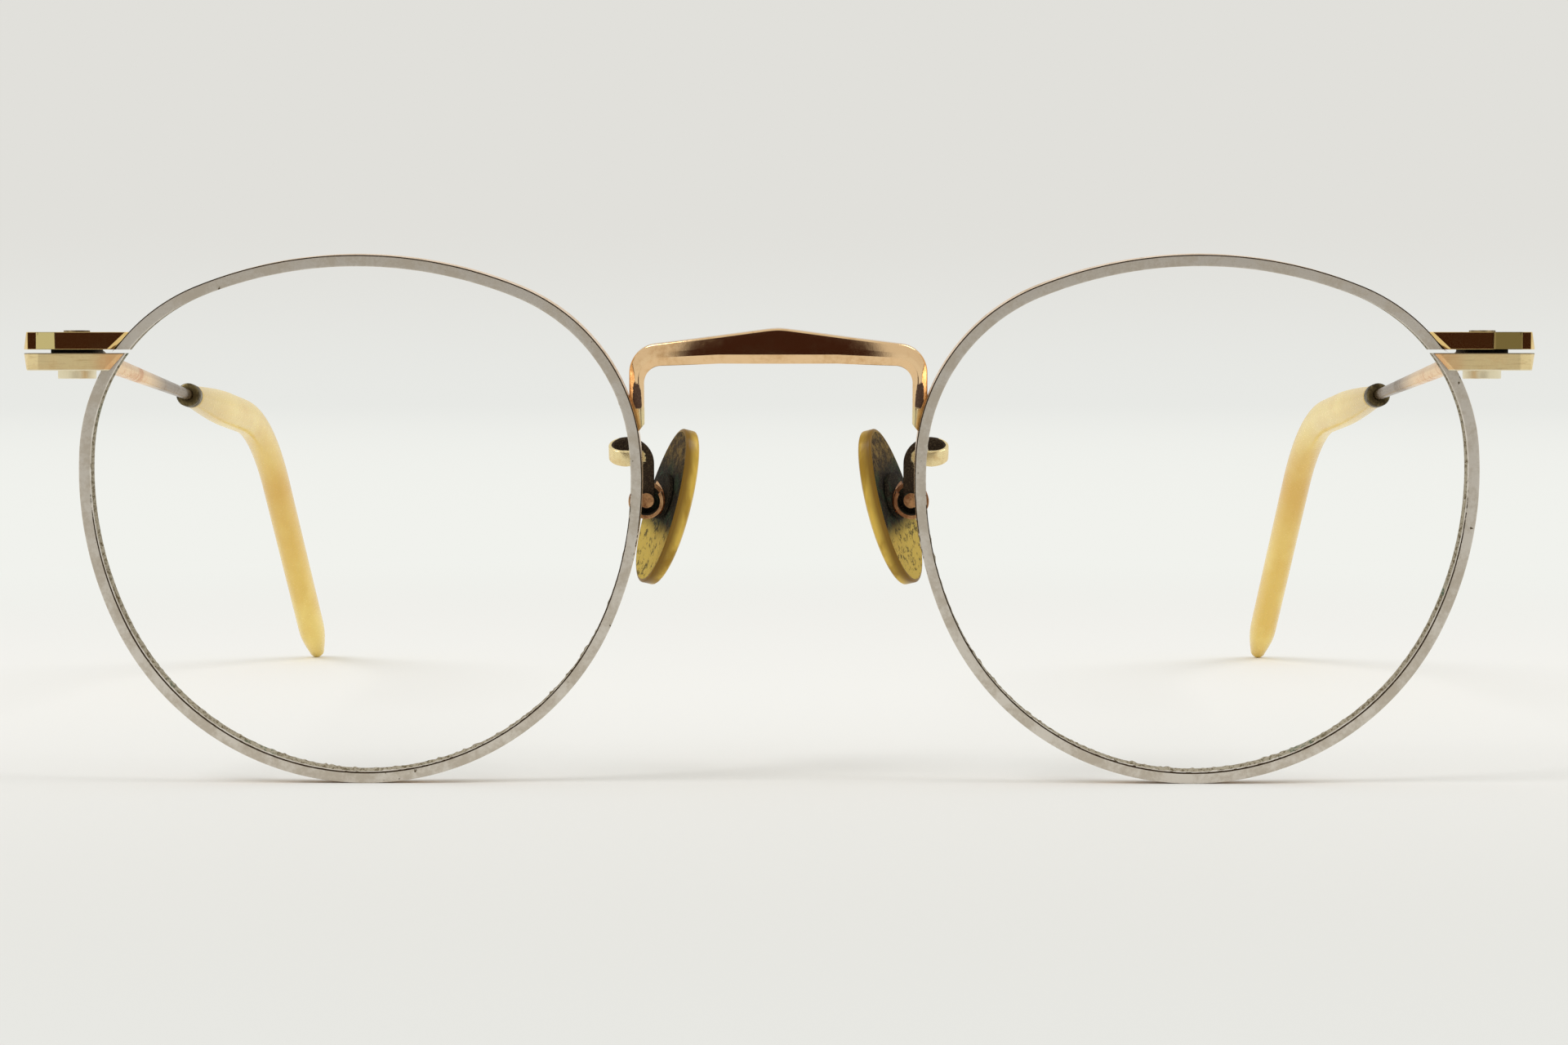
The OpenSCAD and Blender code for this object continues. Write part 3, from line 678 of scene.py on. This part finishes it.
def brushed_end_material():
    made, tree, shader = new_material("brushed_gold_end")
    base = metal(tree, bright=(240, 218, 164), dull=(224, 196, 142), dullness=0.4, fineness=300,
                 polish=0.34, matte=0.46)
    place = object_place(tree)
    spot = split(tree, place)
    drawn_out = node(tree, "Mapping", {"Vector": place, "Scale": (0.06, 1, 1)}).outputs[0]
    strokes = noise(tree, drawn_out, fineness=9000)
    colour = blend(tree, between(tree, strokes, 0.5, 0.8), base["Colour"], seen(206, 178, 124))
    inner = between(tree, maths(tree, "ABSOLUTE", spot[0]), (bar_inner_x + 2.2) * MM, bar_inner_x * MM)
    pink = blend(tree, times(tree, inner, noise(tree, place, fineness=700)), colour, seen(226, 158, 104))
    # Painted light: a pale highlight along the foot, and a dark shadow along the saw cut at the top.
    foot_highlight = between(tree, spot[2], (bar_foot_z + 0.14) * MM, (bar_foot_z + 0.02) * MM)
    cream = blend(tree, foot_highlight, pink, seen(240, 230, 200))
    sawn = between(tree, spot[2], (bar_foot_z + BAR_H - 0.12) * MM, (bar_foot_z + BAR_H - 0.05) * MM)
    finish(tree, shader, Base_Color=blend(tree, times(tree, sawn, 0.85), cream, seen(60, 46, 30)),
           Roughness=base["Roughness"], Normal=bumped(tree, strokes, 0.004), Metallic=0.5)
    return made


polished_end = polished_end_material()
brushed_end = brushed_end_material()
for side_name, side in SIDES:
    paint(side_name + "_upper_endpiece", polished_end, 0.045, edge_angle=8)
    paint(side_name + "_lower_endpiece", brushed_end, 0.07, edge_angle=8)


# Hinge screws: slotted steel screws, upright through both endpiece halves and the temple's tongue.
# They close the rims and are the temples' pins. Old steel, brown in blotches.
def old_metal_material(name, **shades):
    """A metal with no dirt of its own."""
    made, tree, shader = new_material(name)
    base = metal(tree, **shades)
    finish(tree, shader, Base_Color=base["Colour"], Roughness=base["Roughness"],
           Normal=bumped(tree, base["Height"], 0.01), Metallic=1)
    return made


old_steel = old_metal_material("old_screw_steel", bright=(156, 138, 108), dull=(74, 56, 38), dullness=0.55,
                               fineness=900, polish=0.3, matte=0.6)
for side_name, side in SIDES:
    paint(side_name + "_hinge_screw", old_steel, 0.05)


# Pad arms: a flat gold ribbon soldered behind the rim, bent in a bight on the lens side and down to
# the pad's pin. The lens side is still bright, the rest is black with old dirt but for one edge, where the
# dirt is left off as a painted highlight.
ARM_W = 1.3
ARM_T = 0.45
BIGHT_R = 1.3
BOW_R = 1.6
BOW_IN = 0.85
ARM_H = 5.4
ARM_RISE = 0.85
ARM_DROP = 3.1
SOLDER = 0.02
arm_z = lens_z + ARM_H
bow_c = Vector((lens_x - LENS_W / 2 + BOW_IN, arm_z - BOW_R))
eyelet = Vector((bow_c.x - BOW_R, bow_c.y - ARM_DROP))
near_y = RIM_D + SOLDER + ARM_T / 2
eyelet_y = near_y + 2 * BIGHT_R


def arm_stations():
    """The ribbon's middle line with its width and thickness directions, and its share of full width."""
    foot_x = lens_x - LENS_W / 2 - RIM_OUT + 0.1
    rise = math.asin(ARM_RISE / (2 * BIGHT_R))
    back, up = Vector((0, math.cos(rise), math.sin(rise))), Vector((0, -math.sin(rise), math.cos(rise)))
    flat, level, inward = Vector((0, 1, 0)), Vector((0, 0, 1)), Vector((-1, 0, 0))
    stations = [(Vector((x, near_y, arm_z - ARM_RISE)), level, -flat, 1)
                for x in spread(foot_x, bow_c.x, 4)[:-1]]
    middle = Vector((bow_c.x, near_y + BIGHT_R, arm_z - ARM_RISE / 2))
    for turn in spread(-90, 90, 24):
        around = direction(turn)
        out = Vector((around.x, 0, 0)) + back * around.y
        settle = clamp(1 - abs(turn) / 90) ** 0.5
        wide = (level * (1 - settle) + up * settle).normalized()
        stations.append((middle + BIGHT_R * out, wide, out, 1))
    for turn in spread(90, 180, 14)[1:]:
        around = direction(turn)
        out = Vector((around.x, 0, around.y))
        stations.append((Vector((bow_c.x, eyelet_y, bow_c.y)) + BOW_R * out, out, flat, 1))
    for z in spread(bow_c.y, eyelet.y, 7)[1:]:
        stations.append((Vector((eyelet.x, eyelet_y, z)), inward, flat, 1))
    for turn in spread(0, 88, 6)[1:]:
        low = math.sin(math.radians(turn))
        end = Vector((eyelet.x, eyelet_y, eyelet.y - ARM_W / 2 * low))
        stations.append((end, inward, flat, math.sqrt(1 - low ** 2)))
    return stations


def arm_material():
    made, tree, shader = new_material("gold_ribbon")
    base = metal(tree, bright=(242, 222, 170), dull=(224, 194, 138), dullness=0.35, fineness=500,
                 polish=0.26, matte=0.42)
    darkened = overlaid(tree, base["Colour"], base["Roughness"], dirt=seen(44, 32, 22),
                   where=own_mask(tree, "behind"), fineness=1700)
    height = plus(tree, times(tree, base["Height"], 0.25), darkened["Mask"])
    finish(tree, shader, Base_Color=darkened["Colour"], Roughness=darkened["Roughness"],
           Normal=bumped(tree, height, 0.03), Metallic=times(tree, darkened["Clean"], 0.75),
           Specular_IOR_Level=0.15)
    return made


ribbon = arm_material()
arm_line = arm_stations()
arm_section = rounded([(ARM_W / 2, -ARM_T / 2, 0.15, ""), (ARM_W / 2, ARM_T / 2, 0.15, ""),
                       (-ARM_W / 2, ARM_T / 2, 0.15, ""), (-ARM_W / 2, -ARM_T / 2, 0.15, "")])
for side_name, side in SIDES:
    rings, masks = [], {"behind": []}
    # The stations are the foot, 0 to 3, the bight, to 28, the bow, to 42, and the drop to the pin
    for index, (spot, wide, thick, share) in enumerate(arm_line):
        ring = []
        for across, deep, label in arm_section:
            point = spot + wide * across * share + thick * deep
            ring.append(leaned(point.x, point.y, point.z))
            dirt = max(min(0.78, ramp(index, 20, 28)), 0.8 if deep < 0 and index > 2 else 0)
            # Painted highlight: the dirt is left off one edge of the front over the bow and the drop, so the
            # bright metal shows.
            edge_highlight = min(ramp(index, 27, 31), ramp(index, 47, 37)) if deep < 0 and across < 0 else 0
            masks["behind"].append(dirt - 0.7 * edge_highlight)
        rings.append(ring)
    points, faces = skin(rings)
    arm = piece(side_name + "_arm_ribbon", points, faces, side, masks)
    dress(arm, ribbon, "front", "yellow_gold", side_name + "_pad_arm")


# Pad boxes: the small gold cups riveted to the pads' backs, which the arms' ends go down into.
# Their rims are coppery bright; they are full of dirt and verdigris, with shade painted dark into the
# hollow as well. A pin goes through both.
def box_material():
    made, tree, shader = new_material("dirty_shaded_gold_cup")
    base = metal(tree, bright=(214, 168, 120), dull=(146, 100, 68), dullness=0.55, fineness=700,
                 polish=0.28, matte=0.5)
    place = object_place(tree)
    spot = split(tree, place)
    pin = leaned(eyelet.x, eyelet_y, eyelet.y) * MM
    aside = minus(tree, maths(tree, "ABSOLUTE", spot[0]), pin.x)
    forward = times(tree, minus(tree, spot[1], pin.y), -math.sin(LEAN))
    above = plus(tree, forward, times(tree, minus(tree, spot[2], pin.z), math.cos(LEAN)))
    from_pin = maths(tree, "SQRT", plus(tree, times(tree, aside, aside), times(tree, above, above)))
    # Painted shade with real dirt: darker in the cup's hollow and outside its rim, on a thinner dark all
    # over.
    hollow = strip(tree, from_pin, (0.6 * MM, 0.72 * MM), (1.12 * MM, 1.22 * MM))
    shade_and_dirt = plus(tree, hollow, between(tree, from_pin, 1.55 * MM, 1.65 * MM))
    green = patches(tree, place, fineness=700, low=0.56, high=0.66)
    verdigris = blend(tree, green, seen(28, 23, 17), seen(36, 50, 38))
    darkened = overlaid(tree, base["Colour"], base["Roughness"], dirt=verdigris,
                   where=plus(tree, times(tree, shade_and_dirt, 0.6), 0.38), fineness=1500)
    finish(tree, shader, Base_Color=darkened["Colour"], Roughness=darkened["Roughness"], Metallic=darkened["Clean"],
           Normal=bumped(tree, darkened["Mask"], 0.03), Specular_IOR_Level=0.15)
    return made


cup_gold = box_material()
for side_name, side in SIDES:
    paint(side_name + "_pad_box", cup_gold, 0.06)
    paint(side_name + "_pad_pin", cup_gold, 0.04)


# Nose pads: buttons of clear amber celluloid, crowned towards the nose and a little hollow behind.
# The back is crusted: black and green round the cup, yellow and specked below, brown above.
PAD_L = 13.7
PAD_W = 7.4
PAD_T = 1.9
PAD_EDGE_T = 1.1
PAD_TILT = 16.5
PAD_SPLAY = 21
PAD_DISH = 0.12
PAD_TURNS = 72
pad_c = Vector((eyelet.x - 1.7, eyelet_y + 0.9, eyelet.y - 0.7))


def pad_profile():
    """The half section from the back's middle round, as (towards the back, share of outline, label)."""
    half = PAD_EDGE_T / 2
    dished = 0.955
    profile = [(half - PAD_DISH + PAD_DISH * t ** 2, max(0.02, dished * t), "back") for t in spread(0, 1, 10)]
    for angle in spread(90, 0, 6)[1:]:
        turn = direction(angle)
        profile.append((half - 0.17 + 0.17 * turn.y, dished + (1 - dished) * turn.x, "edge"))
    profile += [(half - 0.3, 1.0, "edge"), (-half + 0.2, 1.0, "edge")]
    for angle in spread(0, 90, 18):
        turn = direction(angle)
        deep = -half + 0.1 - (PAD_T - PAD_EDGE_T + 0.1) * turn.y
        profile.append((deep, max(0.02, turn.x), "front"))
    return profile


def amber_material():
    made, tree, shader = new_material("amber_celluloid_pad")
    place = object_place(tree)
    drawn_out = node(tree, "Mapping", {"Vector": place, "Scale": (1, 1, 0.25)}).outputs[0]
    streak = patches(tree, drawn_out, fineness=700, low=0.35, high=0.65)
    honey = blend(tree, streak, seen(212, 178, 78), seen(162, 127, 40))
    near_back = blend(tree, own_mask(tree, "rim"), honey, seen(126, 94, 26))
    below_spots = patches(tree, place, fineness=1300, low=0.51, high=0.62, detail=5.0, roughness=0.75)
    below = blend(tree, below_spots, seen(200, 172, 82), seen(92, 80, 40))
    green = patches(tree, place, fineness=520, low=0.5, high=0.62)
    crust = blend(tree, green, seen(22, 19, 16), seen(34, 50, 34))
    above_spots = patches(tree, place, fineness=1500, low=0.45, high=0.62, detail=6.0, roughness=0.8)
    above = blend(tree, above_spots, seen(58, 44, 26), seen(128, 104, 56))
    dirt = blend(tree, own_mask(tree, "top"), blend(tree, own_mask(tree, "low"), crust, below), above)
    darkened = overlaid(tree, near_back, 0.28, dirt=dirt, where=own_mask(tree, "back"), fineness=1300)
    lumps = times(tree, darkened["Mask"], noise(tree, place, fineness=2600, detail=5.0))
    finish(tree, shader, Base_Color=darkened["Colour"], Roughness=darkened["Roughness"],
           Normal=bumped(tree, lumps, 0.14), Specular_IOR_Level=0.22, Subsurface_Weight=0.12,
           Subsurface_Radius=(1.0, 0.6, 0.2), Subsurface_Scale=0.6 * MM)
    return made


amber = amber_material()
turned = Matrix.Rotation(math.radians(-PAD_TILT), 3, "Y") @ Matrix.Rotation(math.radians(-PAD_SPLAY), 3, "Z")
for side_name, side in SIDES:
    rings, masks = [], {"back": [], "rim": [], "top": [], "low": []}
    for deep, share, label in pad_profile():
        ring = []
        for angle in spread(0, 360, PAD_TURNS)[:-1]:
            turn = direction(angle)
            flat = Vector((deep, share * PAD_W / 2 * turn.x * (1 - 0.1 * turn.y), share * PAD_L / 2 * turn.y))
            spot = turned @ flat + pad_c
            ring.append(leaned(spot.x, spot.y, spot.z))
            high = share * turn.y
            masks["back"].append(0.8 if label == "back" else 0.0)
            masks["rim"].append(1.0 if label == "edge" and deep > 0.2 else 0.0)
            masks["top"].append(ramp(high, 0.42, 0.67))
            masks["low"].append(ramp(high, -0.18, -0.38))
        rings.append(ring)
    points, faces = skin(rings)
    pad = piece(side_name + "_amber_pad", points, faces, side, masks, crease=60)
    dress(pad, amber, side_name + "_pad", "amber_celluloid", side_name + "_nose_pad")


# Hinge tongues: the flat gold eyes that turn on the screws between the endpiece halves, each with a
# round butt that the temple's wire is soldered into. They are painted black as shade, most in front.
def tongue_material():
    made, tree, shader = new_material("shaded_gold_tongue")
    base = metal(tree, bright=(150, 118, 70), dull=(64, 46, 28), dullness=0.6, fineness=500,
                 polish=0.3, matte=0.6)
    spot = split(tree, object_place(tree))
    # Painted shade: the tongue is coloured near black, darkest at its front.
    front = between(tree, spot[1], (hinge.y + 0.6) * MM, (hinge.y - 0.4) * MM)
    darkened = overlaid(tree, base["Colour"], base["Roughness"], dirt=seen(22, 16, 12),
                   where=plus(tree, times(tree, front, 0.7), 0.3), fineness=1200)
    finish(tree, shader, Base_Color=darkened["Colour"], Roughness=darkened["Roughness"], Metallic=darkened["Clean"],
           Normal=bumped(tree, darkened["Mask"], 0.02), Specular_IOR_Level=0.15)
    return made


shade_dark_gold = tongue_material()
for side_name, side in SIDES:
    paint(side_name + "_hinge_tongue", shade_dark_gold, 0.06)


# Temple wires: round gold-filled wire, tapered from the butt to the tip, with shade painted dark
# where it goes in. It runs on thinner inside the tip, as its core.
TEMPLE_LEN = 73
TEMPLE_SLOPE = 5.2
BEND_R = 38
EAR_SLOPE = 38.5
TOE_IN = math.radians(1.1)
WIRE_R = 0.8
WIRE_END_R = 0.5
WIRE_TURNS = 24
TIP_START = 47
BUTT_END = 7.47
SEAT_D = 1.8
SEAT_PLAY = 0.12
CORE_R = 0.45
CORE_STOP = 8
TIP_END_R = 0.9
bend_start = TEMPLE_LEN * direction(-TEMPLE_SLOPE)
bend_c = bend_start - BEND_R * direction(90 - TEMPLE_SLOPE)
bend_end = bend_c + BEND_R * direction(90 - EAR_SLOPE)
bend_len = BEND_R * math.radians(EAR_SLOPE - TEMPLE_SLOPE)
ear_len = (hinge.z + bend_end.y - TIP_END_R) / math.sin(math.radians(EAR_SLOPE))
path_len = TEMPLE_LEN + bend_len + ear_len


def temple_ring(t, wide, tall, count, past_end=0.0):
    """A ring of points round the temple's line, a distance t behind the screw."""
    if t < TEMPLE_LEN:
        slope, spot = TEMPLE_SLOPE, t * direction(-TEMPLE_SLOPE)
    elif t < TEMPLE_LEN + bend_len:
        slope = TEMPLE_SLOPE + math.degrees((t - TEMPLE_LEN) / BEND_R)
        spot = bend_c + BEND_R * direction(90 - slope)
    else:
        slope = EAR_SLOPE
        spot = bend_end + (t - TEMPLE_LEN - bend_len + past_end) * direction(-EAR_SLOPE)
    up = direction(90 - slope)
    aside, along = math.cos(TOE_IN), math.sin(TOE_IN)
    ring = []
    for angle in spread(0, 360, count)[:-1]:
        turn = direction(angle)
        across = wide * turn.x
        back, rise = spot.x + tall * turn.y * up.x, spot.y + tall * turn.y * up.y
        ring.append(hinge + Vector((across * aside - back * along, across * along + back * aside, rise)))
    return ring


def wire_material():
    made, tree, shader = new_material("gold_filled_wire")
    base = metal(tree, bright=(238, 200, 146), dull=(214, 160, 112), dullness=0.4, fineness=200,
                 polish=0.2, matte=0.36)
    # Painted shade: darker over the last stretch before the ferrule, where the worn mask says.
    finish(tree, shader, Base_Color=blend(tree, own_mask(tree, "worn"), base["Colour"], seen(118, 94, 62)),
           Roughness=base["Roughness"], Normal=bumped(tree, base["Height"], 0.008), Metallic=1)
    return made


gold_wire = wire_material()
for side_name, side in SIDES:
    rings, masks = [], {"worn": []}
    stations = [(BUTT_END - SEAT_D, WIRE_R - SEAT_PLAY), (BUTT_END, WIRE_R - SEAT_PLAY)]
    for t in spread(BUTT_END, TIP_START, 24):
        stations.append((t, WIRE_R + (WIRE_END_R - WIRE_R) * (t - BUTT_END) / (TIP_START - BUTT_END)))
    stations += [(t, CORE_R) for t in spread(TIP_START, path_len - CORE_STOP, 40)]
    for t, radius in stations:
        rings.append(temple_ring(t, radius, radius, WIRE_TURNS))
        # Painted shade along the wire's last stretch before the ferrule.
        masks["worn"] += [ramp(t, TIP_START - 22, TIP_START - 14)] * WIRE_TURNS
    points, faces = skin(rings)
    wire = piece(side_name + "_gold_wire", points, faces, side, masks)
    dress(wire, gold_wire, side_name + "_temple", "yellow_gold", side_name + "_temple_wire")


# Ferrules: short collars of dark brass that close the tips' front ends on the wire, each turned
# with a fine groove round its middle.
FERRULE_LEN = 1.9
FERRULE_R = 1.15
FERRULE_TURNS = 32
dark_brass = old_metal_material("dark_ferrule_brass", bright=(112, 98, 66), dull=(60, 50, 32), dullness=0.5,
                                fineness=700, polish=0.3, matte=0.55)
for side_name, side in SIDES:
    front = TIP_START - FERRULE_LEN
    back = TIP_START - SOLDER
    bore = WIRE_END_R + 0.05
    outline = [(front, bore), (front, FERRULE_R - 0.2), (front + 0.06, FERRULE_R - 0.08),
               (front + 0.2, FERRULE_R), (front + 0.7, FERRULE_R), (front + 0.8, FERRULE_R - 0.1),
               (front + 0.9, FERRULE_R), (TIP_START - 0.2, FERRULE_R), (back, FERRULE_R - 0.1), (back, bore)]
    rings = [temple_ring(t, radius, radius, FERRULE_TURNS) for t, radius in outline]
    points, faces = skin(rings, closed=True)
    collar = piece(side_name + "_collar", points, faces, side)
    dress(collar, dark_brass, side_name + "_temple", "dark_brass", side_name + "_ferrule")


# Temple tips: honey celluloid, bored for the wire, oval and bent down behind the ear, a little
# cloudy, browner at the front where the skin touched it, and finely scratched.
TIP_R = 1.5
TIP_OVAL = 1.2
TIP_TURNS = 40
SWELL_LEN = 16
POINT_LEN = 5
FRONT_R = 1.05
FRONT_EDGE = 0.08
BORE_SPARE = 0.5
BORE_PLAY = 0.1


def tip_size(t):
    """Half the tip's width and half its height at a distance behind the screw."""
    past, left = t - TIP_START, path_len - t
    if past < SWELL_LEN:
        radius = FRONT_R + (TIP_R - FRONT_R) * math.sin(math.pi / 2 * past / SWELL_LEN)
    elif left > POINT_LEN:
        radius = TIP_R
    else:
        radius = TIP_END_R + (TIP_R - TIP_END_R) * math.sin(math.pi / 2 * max(left, 0) / POINT_LEN)
    oval = (TIP_OVAL - 1) * min(1, past / SWELL_LEN) * min(1, max(left, 0) / POINT_LEN)
    return radius, radius * (1 + oval)


def tip_material():
    made, tree, shader = new_material("honey_celluloid_tip")
    place = object_place(tree)
    drawn_out = node(tree, "Mapping", {"Vector": place, "Scale": (1, 0.3, 0.6)}).outputs[0]
    cloud = noise(tree, drawn_out, fineness=240)
    honey = blend(tree, between(tree, cloud, 0.35, 0.65), seen(242, 214, 118), seen(231, 194, 92))
    tan = blend(tree, own_mask(tree, "front"), honey, seen(212, 181, 104))
    warm = blend(tree, times(tree, own_mask(tree, "bend"), 0.7), tan, seen(216, 168, 72))
    scratches = patches(tree, place, fineness=5000, low=0.6, high=0.75, detail=2.0)
    finish(tree, shader, Base_Color=warm, Roughness=between_numbers(tree, scratches, 0.24, 0.42),
           Normal=bumped(tree, cloud, 0.01), Subsurface_Weight=0.05, Subsurface_Radius=(1.0, 0.7, 0.3),
           Subsurface_Scale=1 * MM, Coat_Weight=0.15)
    return made


honey_tip = tip_material()
for side_name, side in SIDES:
    bore = CORE_R + BORE_PLAY
    stations = [(t, bore, bore) for t in spread(path_len - CORE_STOP + BORE_SPARE, TIP_START, 36)]
    stations.append((TIP_START, *[radius - FRONT_EDGE for radius in tip_size(TIP_START)]))
    stations += [(t, *tip_size(t)) for t in spread(TIP_START + FRONT_EDGE, path_len, 90)]
    rings, masks = [], {"front": [], "bend": []}
    for t, wide, tall in stations:
        rings.append(temple_ring(t, wide, tall, TIP_TURNS))
        masks["front"] += [ramp(t, TIP_START + 13, TIP_START)] * TIP_TURNS
        masks["bend"] += [ramp(abs(t - TEMPLE_LEN - bend_len), 16, 0)] * TIP_TURNS
    for angle in spread(0, 85, 7)[1:]:
        cap = TIP_END_R * direction(angle)
        rings.append(temple_ring(path_len, cap.x, cap.x, TIP_TURNS, cap.y))
        masks["front"] += [0.0] * TIP_TURNS
        masks["bend"] += [0.0] * TIP_TURNS
    points, faces = skin(rings)
    tip = piece(side_name + "_honey_tip", points, faces, side, masks, crease=60)
    dress(tip, honey_tip, side_name + "_temple", "honey_celluloid", side_name + "_temple_tip")
